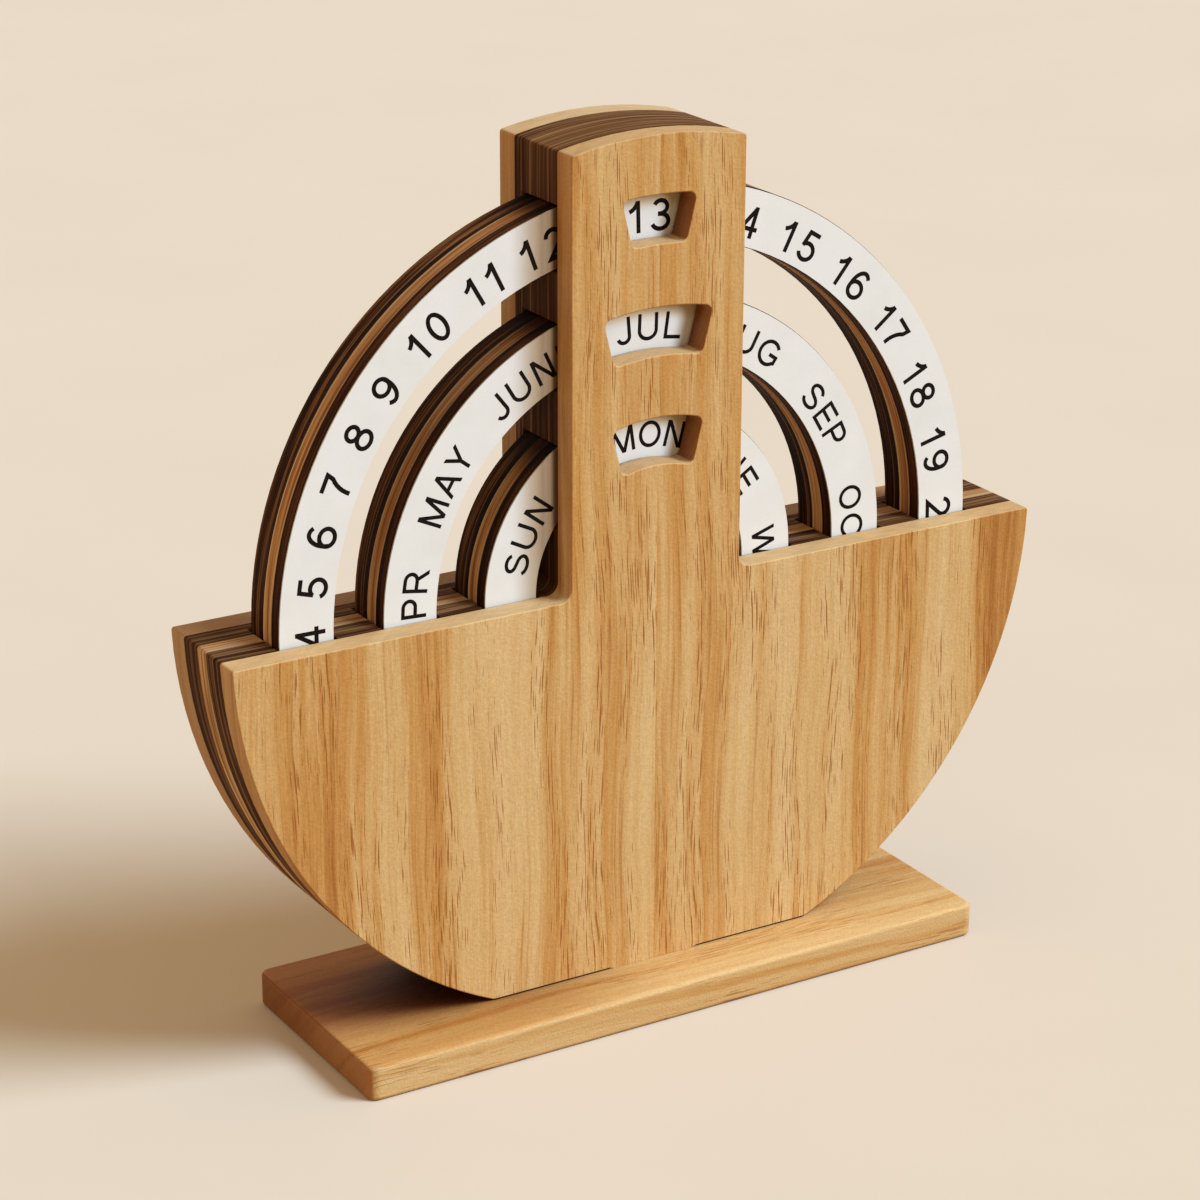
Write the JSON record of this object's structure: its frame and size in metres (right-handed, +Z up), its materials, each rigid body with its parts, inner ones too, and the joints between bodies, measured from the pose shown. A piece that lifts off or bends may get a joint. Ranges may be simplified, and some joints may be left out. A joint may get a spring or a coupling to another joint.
{
  "type": "perpetual desk calendar",
  "caption": "Desk calendar with three concentric ring dials for date, month and weekday, turned by hand in a laminated wooden stand and read through windows in its tower.",
  "frame": {"origin": "middle of the base board's underside", "axes": "+X to the right as the calendar is read, +Y to the back, +Z up"},
  "size_m": [0.2002, 0.054, 0.1952],
  "materials": {
    "plate_wood": "satin oiled honey-coloured wood, grain upright",
    "base_wood": "satin oiled honey-coloured wood, grain along the board",
    "dark_ply_wood": "satin dark brown wood",
    "pale_ply_wood": "satin mid-brown wood",
    "printed_label": "matt white card with black print"
  },
  "bodies": {
    "stand": {"base_board": "base_wood", "front_plate": "plate_wood", "rear_liner": "dark_ply_wood", "back_plate": "plate_wood", "bowl_wall_ply_1": "dark_ply_wood", "bowl_wall_ply_2": "dark_ply_wood", "bowl_wall_ply_3": "pale_ply_wood", "bowl_wall_ply_4": "dark_ply_wood", "outer_band_ply_1": "dark_ply_wood", "outer_band_ply_2": "dark_ply_wood", "outer_band_ply_3": "pale_ply_wood", "outer_band_ply_4": "dark_ply_wood", "inner_band_ply_1": "dark_ply_wood", "inner_band_ply_2": "dark_ply_wood", "inner_band_ply_3": "pale_ply_wood", "inner_band_ply_4": "dark_ply_wood", "core_ply_1": "dark_ply_wood", "core_ply_2": "dark_ply_wood", "core_ply_3": "dark_ply_wood", "core_ply_4": "dark_ply_wood", "lower_tower_block_ply_1": "dark_ply_wood", "lower_tower_block_ply_2": "dark_ply_wood", "lower_tower_block_ply_3": "dark_ply_wood", "lower_tower_block_ply_4": "dark_ply_wood", "upper_tower_block_ply_1": "dark_ply_wood", "upper_tower_block_ply_2": "dark_ply_wood", "upper_tower_block_ply_3": "dark_ply_wood", "upper_tower_block_ply_4": "dark_ply_wood", "tower_cap_ply_1": "dark_ply_wood", "tower_cap_ply_2": "dark_ply_wood", "tower_cap_ply_3": "dark_ply_wood", "tower_cap_ply_4": "dark_ply_wood"},
    "date_ring": {"date_ring_label": "printed_label", "date_ring_face_ply": "dark_ply_wood", "date_ring_pale_ply": "pale_ply_wood", "date_ring_middle_ply": "dark_ply_wood", "date_ring_back_ply": "dark_ply_wood"},
    "month_ring": {"month_ring_label": "printed_label", "month_ring_face_ply": "dark_ply_wood", "month_ring_pale_ply": "pale_ply_wood", "month_ring_middle_ply": "dark_ply_wood", "month_ring_back_ply": "dark_ply_wood"},
    "weekday_ring": {"weekday_ring_label": "printed_label", "weekday_ring_face_ply": "dark_ply_wood", "weekday_ring_pale_ply": "pale_ply_wood", "weekday_ring_middle_ply": "dark_ply_wood", "weekday_ring_back_ply": "dark_ply_wood"}
  },
  "joints": [
    {"name": "date_ring_turn", "type": "hinge", "parent": "stand", "child": "date_ring", "pos_m": [0, 0.00045, 0.097], "axis": [0, -1, 0], "continuous": true},
    {"name": "month_ring_turn", "type": "hinge", "parent": "stand", "child": "month_ring", "pos_m": [0, 0.00045, 0.097], "axis": [0, -1, 0], "continuous": true},
    {"name": "weekday_ring_turn", "type": "hinge", "parent": "stand", "child": "weekday_ring", "pos_m": [0, 0.00045, 0.097], "axis": [0, -1, 0], "continuous": true}
  ]
}
